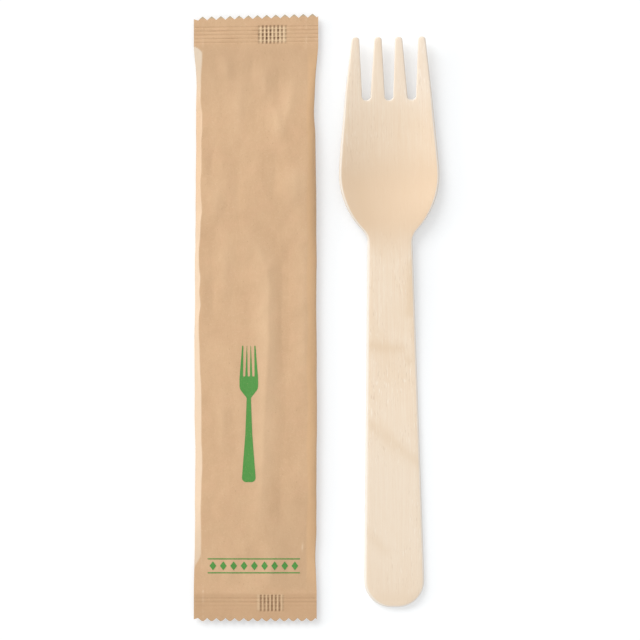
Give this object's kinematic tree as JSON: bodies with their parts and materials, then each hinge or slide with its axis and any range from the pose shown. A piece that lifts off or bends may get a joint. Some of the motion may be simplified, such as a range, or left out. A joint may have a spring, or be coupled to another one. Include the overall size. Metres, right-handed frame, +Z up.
{
  "type": "wooden cutlery pack",
  "caption": "Sealed kraft paper sachet with crimped, pinked ends, lying beside the same kind of flat pressed wooden fork as it holds.",
  "frame": {"origin": "on the table, under the middle of the pair's bounding box", "axes": "+Y along both pieces towards the fork's tines, +Z up from the table, +X from the sachet to the fork"},
  "size_m": [0.0688, 0.1702, 0.0047],
  "materials": {
    "kraft_paper": "uncoated brown kraft paper with dark green print",
    "birch_veneer": "bare, smooth-pressed birch veneer"
  },
  "bodies": {
    "root": {"paper_sachet": "kraft_paper", "wooden_fork": "birch_veneer"}
  },
  "joints": []
}
